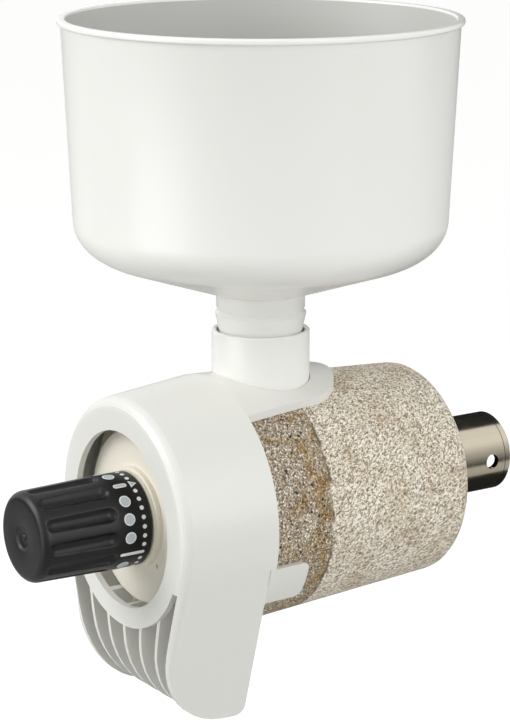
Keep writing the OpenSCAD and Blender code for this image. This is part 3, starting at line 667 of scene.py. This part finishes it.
@dataclass
class Housings:
    """The white and cream mouldings that hold the mill together and lead the flour out."""

    cream_nodes: Tuple[str, ...] = ("front_cover", "adjusting_bush")

    def build(self) -> None:
        """Dresses the mouldings."""
        # The hood takes the darker copy of the white plastic: painted shade.
        dress("outlet_hood", HOOD_SHADED_ABS)
        dress("feed_tube", WHITE_ABS)
        for node in self.cream_nodes:
            dress(node, CREAM_ABS)


@dataclass
class Hopper:
    """The grain hopper: thin walls, a rolled lip, a rounded lower corner, funnel and neck.

    All sizes are millimetres; heights are above the mill axis.
    """

    axis_y: float = -75.2
    rim_r: float = 74.8
    rim_z: float = 185.4
    lip: float = 1.4
    lip_round: float = 0.8
    lip_under: float = 0.7
    inner_round: float = 0.9
    wall: float = 1.8
    corner_r: float = 71.4
    corner_w: float = 22.0
    corner_h: float = 17.2
    corner_z: float = 109.5
    corner_turn: float = 70.0
    neck_r: float = 17.1
    neck_z: float = 80.2
    stop_r: float = 17.6
    stop_z: float = 72.5
    spout_r: float = 15.9
    spout_z: float = 46.1
    tube_z: float = 66.1
    turns: int = 240

    def outline(self) -> Tuple[Outline, int]:
        """Returns the closed outline, inside first, and how many of its points lie inside."""
        wall, inner = self.wall, self.neck_r - self.wall
        centre = (self.corner_r - self.corner_w, self.corner_z)
        inside = [(self.spout_r - wall, self.spout_z), (self.spout_r - wall, self.tube_z - 1),
                  (inner, self.stop_z + 2), (inner, self.neck_z + wall)]
        inside += arc(centre, (self.corner_w - wall, self.corner_h - wall),
                      -self.corner_turn, 0, 18)
        edge, under, high = self.lip_round, self.lip_under, self.inner_round
        lip_r = self.rim_r + self.lip
        inside += [(self.rim_r - wall, self.rim_z - high)]
        lip = arc((self.rim_r - wall + edge, self.rim_z - high), (edge, high), 180, 90, 6)[1:]
        lip += arc((lip_r - edge, self.rim_z - edge), (edge, edge), 90, 0, 6)
        lip += arc((lip_r - under, self.rim_z - edge - under), (under, under), 0, -90, 5)
        outside = [(self.rim_r + 0.2, self.rim_z - 2.3), (self.rim_r, self.rim_z - 2.6)]
        outside += arc(centre, (self.corner_w, self.corner_h), 0, -self.corner_turn, 18)
        outside += [(self.neck_r, self.neck_z), (self.neck_r, self.stop_z + 2.4),
                    (self.neck_r - 0.9, self.stop_z + 1.2), (self.stop_r, self.stop_z),
                    (self.spout_r, self.tube_z - 1), (self.spout_r, self.spout_z)]
        return inside + lip + outside + inside[:1], len(inside)

    def build(self) -> None:
        """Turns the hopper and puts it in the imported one's place."""
        outline, inner = self.outline()
        tree = turned_tree("turned_hopper", upright=True, fluted=False)
        mesh = grow(tree, outline_mesh("hopper_outline", outline), {
            "Stations": len(outline), "Turns": self.turns, "Inner Stations": inner,
            "Axis Place": (0.0, self.axis_y * MM, 0.0), "Finish": WHITE_ABS.material(),
            # The inside wall takes the greyer copy of the white plastic: painted shade.
            "Inner Finish": HOPPER_INSIDE_SHADE.material(),
        })
        piece = finished_piece("hopper_shell", mesh, Body.HOPPER)
        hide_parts("hopper")


@dataclass
class DriveTrain:
    """The shaft with its bearings, seal, spring, auger and rotor fittings, and the sleeve."""

    steel_nodes: Tuple[str, ...] = (
        "drive_shaft", "auger", "auger_pin", "rotor_carrier", "rotor_screws", "rotor_nut",
        "cover_screws", "adjusting_spindle",
    )
    spring_nodes: Tuple[str, ...] = ("pressure_spring", "shaft_circlip", "thrust_ball")
    bronze_nodes: Tuple[str, ...] = ("rear_bush", "inner_bush")

    def build(self) -> None:
        """Dresses the drive's pieces."""
        dress("coupling_sleeve", SLEEVE_NICKEL)
        for node in self.steel_nodes:
            dress(node, NICKEL)
        for node in self.spring_nodes:
            dress(node, SPRING_STEEL)
        for node in self.bronze_nodes:
            dress(node, BRONZE)
        dress("shaft_seal", SEAL_RUBBER)
        dress("chamber_washer", FELT)


@dataclass
class SettingKnob:
    """The black setting knob: a tapered fluted grip and a smooth skirt for the scale."""

    rear_y: float = -135.0
    front_y: float = -180.6
    skirt_r: float = 18.0
    skirt_edge: float = 0.4
    skirt_len: float = 14.0
    front_r: float = 17.3
    front_round: float = 3.5
    hollow_r: float = 15.2
    hollow: float = 16.5
    insert_r: float = 7.1
    insert_len: float = 20.05
    flutes: int = 12
    flute_r: float = 3.2
    flute_depth: float = 1.3
    first_flute: float = 27.0
    softness: float = 0.9
    turns: int = 360

    def outline(self) -> Outline:
        """Returns the outline from the bottom of the insert's seat to the middle in front."""
        floor_y = self.rear_y - self.hollow
        seat_y = floor_y - self.insert_len
        skirt_y = self.rear_y - self.skirt_len
        round_at = (self.front_r - self.front_round, self.front_y + self.front_round)
        shape = [(0.0, seat_y), (self.insert_r, seat_y), (self.insert_r, floor_y),
                 (self.hollow_r, floor_y), (self.hollow_r, self.rear_y),
                 (self.skirt_r - self.skirt_edge, self.rear_y),
                 (self.skirt_r, self.rear_y - self.skirt_edge)]
        shape += line((self.skirt_r, self.rear_y - 0.9), (self.skirt_r, skirt_y), 0.6)
        shape += line((self.skirt_r, skirt_y), (self.front_r, round_at[1]), 0.35)[1:]
        shape += arc(round_at, (self.front_round, self.front_round), 0, -90, 10)[1:]
        # The front's dimple, with a small pip in its middle.
        shape += [(5.4, self.front_y), (4.9, self.front_y + 0.08), (4.5, self.front_y + 0.4),
                  (3.9, self.front_y + 0.75), (3.0, self.front_y + 0.95),
                  (1.9, self.front_y + 1.05), (1.3, self.front_y + 1.0),
                  (1.0, self.front_y + 0.7), (0.6, self.front_y + 0.5),
                  (0.0, self.front_y + 0.45)]
        return shape

    def build(self) -> None:
        """Turns and flutes the knob, and dresses what sits in it."""
        dress("knob_insert", BRASS)
        dress("knob_ring", SEAL_RUBBER)
        outline = self.outline()
        tree = turned_tree("turned_knob", upright=False, fluted=True)
        black = BLACK_ABS.material()
        mesh = grow(tree, outline_mesh("knob_outline", outline), {
            "Stations": len(outline), "Turns": self.turns, "Inner Stations": 0,
            "Axis Place": (0.0, 0.0, 0.0), "Finish": black, "Inner Finish": black,
            "Flutes": self.flutes, "Flute Radius": self.flute_r * MM,
            "Flute Reach": (self.front_r + self.flute_r - self.flute_depth) * MM,
            "Flute Front": (self.front_y + self.front_round + self.flute_r / 2) * MM,
            "Flute Rear": (self.rear_y - self.skirt_len - self.flute_r) * MM,
            "First Flute": math.radians(-self.first_flute), "Softness": self.softness * MM,
        })
        piece = finished_piece("fluted_knob", mesh, Body.ADJUSTER)
        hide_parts("knob")


class Mark(Enum):
    """What one row of the scale repeats, by the number of corners in its outline."""

    DOT = 28
    TRIANGLE = 3


@dataclass(frozen=True)
class Row:
    """One row of marks round the skirt.

    Lengths are millimetres. Stretch is how far a dot's two halves are drawn apart into a bar.
    A mark is left out where its number divides by skip. First is where the row starts, in
    half steps. A raised row is a grey fill that lies on the white layer.
    """

    mark: Mark
    step_deg: float
    place_y: float
    radius: float
    stretch: float = 0.0
    skip: int = 0
    first: int = 0
    count: int = 0
    raised: bool = False


@dataclass
class KnobScale:
    """The printed scale: dots, bars and a pointer, drawn flat and wrapped round the skirt.

    The depths are multiples of the lift. Half of each mark's depth lies in the skirt.
    """

    skirt_r: float = 18.0
    start_deg: float = 62.5
    lift: float = 0.12
    white_depth: float = 2.0
    grey_depth: float = 2.8
    rim: float = 0.42
    dot_step: float = 11.25
    ring_step: float = 22.5
    bar_step: float = 180.0
    ring_r: float = 2.3
    bar_r: float = 0.95
    bar_stretch: float = 1.85
    dots_y: float = -138.5
    rings_y: float = -144.5
    bars_y: float = -143.5
    long_bars_y: float = -142.85
    pointer_y: float = -138.3

    def rows(self) -> List[Row]:
        """Returns the rows, the white layer first and the grey fills on it after."""
        white = [
            Row(Mark.DOT, self.dot_step, self.dots_y, 0.85, skip=8),
            Row(Mark.DOT, self.ring_step, self.rings_y, self.ring_r, skip=4),
            Row(Mark.DOT, self.bar_step, self.bars_y, self.bar_r, stretch=self.bar_stretch,
                count=2),
            Row(Mark.DOT, self.bar_step, self.long_bars_y, 0.7, stretch=4.45, first=1,
                count=2),
            Row(Mark.TRIANGLE, 360.0, self.pointer_y, 1.95, count=1),
        ]
        grey = [
            Row(Mark.DOT, self.ring_step, self.rings_y, self.ring_r - self.rim, skip=4,
                raised=True),
            Row(Mark.DOT, self.bar_step, self.bars_y, self.bar_r - self.rim,
                stretch=self.bar_stretch, count=2, raised=True),
            Row(Mark.TRIANGLE, 360.0, self.pointer_y, 1.05, count=1, raised=True),
        ]
        return white + grey

    def tree(self) -> bpy.types.NodeTree:
        """Builds the tree: each row is instances on a line, and all are wrapped together."""
        tree, given = start_tree("printed_scale", {
            "Skirt Radius": "NodeSocketFloat", "Start": "NodeSocketFloat",
            "Lift": "NodeSocketFloat", "White Ink": "NodeSocketMaterial",
            "Grey Ink": "NodeSocketMaterial",
        })
        add = partial(add_node, tree)
        layers: Dict[bool, List[bpy.types.NodeSocket]] = {False: [], True: []}
        for row in self.rows():
            layers[row.raised].append(self.row_nodes(tree, given, row))
        inked = []
        for raised, ink in ((False, "White Ink"), (True, "Grey Ink")):
            joined = add("GeometryNodeJoinGeometry", {0: layers[raised]})
            real = add("GeometryNodeRealizeInstances", {0: joined.outputs[0]})
            inked.append(add("GeometryNodeSetMaterial",
                             {"Geometry": real.outputs[0], "Material": given[ink]}).outputs[0])
        flat = add("GeometryNodeJoinGeometry", {0: inked})
        place = add("ShaderNodeSeparateXYZ", {0: add("GeometryNodeInputPosition").outputs[0]})
        turn = maths(tree, "DIVIDE", place.outputs[0], given["Skirt Radius"])
        angle = maths(tree, "SUBTRACT", given["Start"], turn)
        reach = maths(tree, "ADD", given["Skirt Radius"], place.outputs[2])
        cos = maths(tree, "COSINE", angle)
        sin = maths(tree, "SINE", angle)
        x = maths(tree, "MULTIPLY", reach, cos)
        z = maths(tree, "MULTIPLY", reach, sin)
        round_it = add("ShaderNodeCombineXYZ", {0: x, 1: place.outputs[1], 2: z})
        wrapped = add("GeometryNodeSetPosition", {"Geometry": flat.outputs[0],
                                                  "Position": round_it.outputs[0]})
        add("NodeGroupOutput", {"Geometry": wrapped.outputs[0]})
        return tree

    def row_nodes(self, tree: bpy.types.NodeTree, given: Dict[str, Any],
                  row: Row) -> bpy.types.NodeSocket:
        """Adds one row's nodes and returns its instances.

        Args:
            tree: The tree.
            given: Its named inputs.
            row: What the row repeats, and where.

        Returns:
            The row's instances, in the flat.
        """
        add = partial(add_node, tree)
        count = row.count or round(360 / row.step_deg)
        step = -math.radians(row.step_deg)
        hop = maths(tree, "MULTIPLY", given["Skirt Radius"], step)
        hop_x = add("ShaderNodeCombineXYZ", {0: hop})
        start = add("ShaderNodeVectorMath",
                    {0: hop_x.outputs[0], 1: (row.first / 2, 0.0, 0.0),
                     2: (0.0, row.place_y * MM, 0.0)}, operation="MULTIPLY_ADD")
        points = add("GeometryNodeMeshLine",
                     {"Count": count, "Start Location": start.outputs[0],
                      "Offset": hop_x.outputs[0]}, mode="OFFSET")
        lifts = self.grey_depth if row.raised else self.white_depth
        depth = maths(tree, "MULTIPLY", given["Lift"], lifts)
        mark = add("GeometryNodeMeshCylinder",
                   {"Vertices": row.mark.value, "Radius": row.radius * MM,
                    "Depth": depth}, fill_type="TRIANGLE_FAN")
        place = add("ShaderNodeSeparateXYZ", {0: add("GeometryNodeInputPosition").outputs[0]})
        apart = remap(tree, place.outputs[1], -0.01 * MM, 0.01 * MM, -row.stretch * MM,
                      row.stretch * MM)
        pull = add("ShaderNodeCombineXYZ", {1: apart})
        drawn = add("GeometryNodeSetPosition", {"Geometry": mark.outputs["Mesh"],
                                                "Offset": pull.outputs[0]})
        inputs = {"Points": points.outputs[0], "Instance": drawn.outputs[0]}
        if row.mark is Mark.TRIANGLE:
            inputs["Rotation"] = (0.0, 0.0, math.pi / 2)
        if row.skip:
            index = add("GeometryNodeInputIndex")
            left = add("FunctionNodeIntegerMath", {0: index.outputs[0], 1: row.skip},
                       operation="MODULO")
            inputs["Selection"] = left.outputs[0]
        return add("GeometryNodeInstanceOnPoints", inputs).outputs[0]

    def build(self) -> None:
        """Prints the scale and fastens it to the knob."""
        empty = bpy.data.meshes.new("scale_start")
        mesh = grow(self.tree(), empty, {
            "Skirt Radius": self.skirt_r * MM, "Start": math.radians(self.start_deg),
            "Lift": self.lift * MM, "White Ink": RIM_INK.material(),
            "Grey Ink": MARK_INK.material(),
        })
        finished_piece("knob_scale", mesh, Body.ADJUSTER)


@dataclass(frozen=True)
class Card:
    """A card that stands beside the mill, where only polished surfaces see it."""

    name: str
    finish: CardFinish
    corners: Tuple[Point, Point, Point, Point]


@dataclass
class Studio:
    """The pale floor, the white surround, the soft lamps and the reflection cards."""

    floor_z: float = -0.30
    floor_size: float = 12.0
    floor_colour: str = "#C8C8C6"
    floor_glow: float = 0.62
    world_light: float = 0.54
    key_power: float = 17.2
    fill_power: float = 10.5
    target: Point = (0.0, -0.07, 0.05)
    cards: Tuple[Card, ...] = (
        Card("upper_card", BLACK_CARD, ((0.0, 0.30, 0.62), (-0.95, 0.30, -0.10),
                                        (-0.95, 1.30, -0.10), (0.0, 1.30, 0.62))),
        Card("lower_card", BLACK_CARD, ((0.20, 0.10, -0.28), (-0.60, 0.10, -0.28),
                                        (-0.60, 1.20, -0.28), (0.20, 1.20, -0.28))),
        Card("side_card", SHADED_CARD, ((0.60, 0.15, -0.28), (0.60, 1.25, -0.28),
                                        (0.60, 1.25, 1.05), (0.60, 0.15, 1.05))),
        Card("strip_card", BRIGHT_CARD, ((-0.34, -0.95, -0.28), (0.20, -0.95, -0.28),
                                         (0.20, -0.95, 0.30), (-0.34, -0.95, 0.30))),
        Card("front_card", BLACK_CARD, ((-0.25, -1.10, -0.28), (-1.20, -0.60, -0.28),
                                        (-1.20, -0.60, 0.10), (-0.25, -1.10, 0.10))),
    )

    def build(self) -> None:
        """Makes the floor, the surround, the lamps and the cards."""
        self.make_floor()
        self.make_world()
        self.make_lamp("key_lamp", (-0.55, -1.35, 0.75), 1.0, self.key_power)
        self.make_lamp("fill_lamp", (1.35, 0.15, 0.60), 1.2, self.fill_power)
        for card in self.cards:
            self.make_card(card)

    def make_floor(self) -> None:
        """Makes a wide floor, plain and pale to the camera."""
        half = self.floor_size / 2
        floor = self.sheet("floor", ((-half, -half, self.floor_z), (half, -half, self.floor_z),
                                     (half, half, self.floor_z), (-half, half, self.floor_z)))
        made = bpy.data.materials.new("pale_floor")
        made.use_nodes = True
        shader = made.node_tree.nodes["Principled BSDF"]
        shader.inputs["Base Color"].default_value = linear(self.floor_colour)
        shader.inputs["Roughness"].default_value = 0.9
        shader.inputs["Emission Color"].default_value = (1, 1, 1, 1)
        path = add_node(made.node_tree, "ShaderNodeLightPath")
        glow = maths(made.node_tree, "MULTIPLY", path.outputs["Is Camera Ray"], self.floor_glow)
        made.node_tree.links.new(glow, shader.inputs["Emission Strength"])
        floor.data.materials.append(made)

    def sheet(self, name: str, corners: Sequence[Point]) -> bpy.types.Object:
        """Makes one flat sheet that belongs to the studio."""
        mesh = bpy.data.meshes.new(name)
        mesh.from_pydata(list(corners), [], [tuple(range(len(corners)))])
        made = bpy.data.objects.new(name, mesh)
        bpy.context.scene.collection.objects.link(made)
        return made

    def make_card(self, card: Card) -> None:
        """Stands one card where only reflections find it."""
        stood = self.sheet(card.name, card.corners)
        stood.data.materials.append(card.finish.material())
        stood.visible_camera = False
        stood.visible_diffuse = False
        stood.visible_shadow = False
        stood.visible_transmission = False

    def make_world(self) -> None:
        """Makes the surround: white where it is seen, softer where it lights."""
        world = bpy.data.worlds.new("studio")
        bpy.context.scene.world = world
        world.use_nodes = True
        tree = world.node_tree
        tree.nodes.clear()
        path = add_node(tree, "ShaderNodeLightPath")
        seen = maths(tree, "MAXIMUM", path.outputs["Is Camera Ray"],
                     path.outputs["Is Glossy Ray"])
        through = maths(tree, "MAXIMUM", seen, path.outputs["Is Transmission Ray"])
        strength = remap(tree, through, to_low=self.world_light)
        light = add_node(tree, "ShaderNodeBackground",
                         {"Color": (1, 1, 1, 1), "Strength": strength})
        add_node(tree, "ShaderNodeOutputWorld", {"Surface": light.outputs[0]})

    def make_lamp(self, name: str, place: Point, size: float, power: float) -> None:
        """Adds one square soft lamp that looks at the mill."""
        lamp = bpy.data.lights.new(name, "AREA")
        lamp.size = size
        lamp.energy = power
        stand = bpy.data.objects.new(name, lamp)
        bpy.context.scene.collection.objects.link(stand)
        stand.location = place
        aim = Vector(self.target) - Vector(place)
        stand.rotation_euler = aim.to_track_quat("-Z", "Y").to_euler()


@dataclass
class Viewpoint:
    """The camera, level and square to its own axis."""

    place: Point = (0.78124, -0.59133, 0.28381)
    turn: float = 56.68
    rise: float = 13.83
    lens: float = 125.0

    def build(self) -> None:
        """Makes the camera and gives it to the scene."""
        data = bpy.data.cameras.new("camera")
        data.sensor_fit = "VERTICAL"
        data.sensor_height = 36.0
        data.lens = self.lens
        data.clip_start = 0.02
        camera = bpy.data.objects.new("camera", data)
        bpy.context.scene.collection.objects.link(camera)
        turn, rise = math.radians(self.turn), math.radians(self.rise)
        back = Vector((math.sin(turn) * math.cos(rise), -math.cos(turn) * math.cos(rise),
                       math.sin(rise)))
        right = Vector((math.cos(turn), math.sin(turn), 0))
        pose = Matrix((right, back.cross(right), back)).transposed().to_4x4()
        pose.translation = Vector(self.place)
        camera.matrix_world = pose
        bpy.context.scene.camera = camera


def main() -> None:
    """Builds the mill's looks, sub-assembly by sub-assembly."""
    logging.basicConfig(level=logging.INFO, format="%(name)s: %(message)s")
    bpy.context.scene.view_settings.view_transform = "Standard"
    for part in (MillStones(), Housings(), Hopper(), DriveTrain(), SettingKnob(), KnobScale(),
                 Studio(), Viewpoint()):
        LOG.info("building %s", type(part).__name__)
        part.build()


if __name__ == "__main__":
    main()
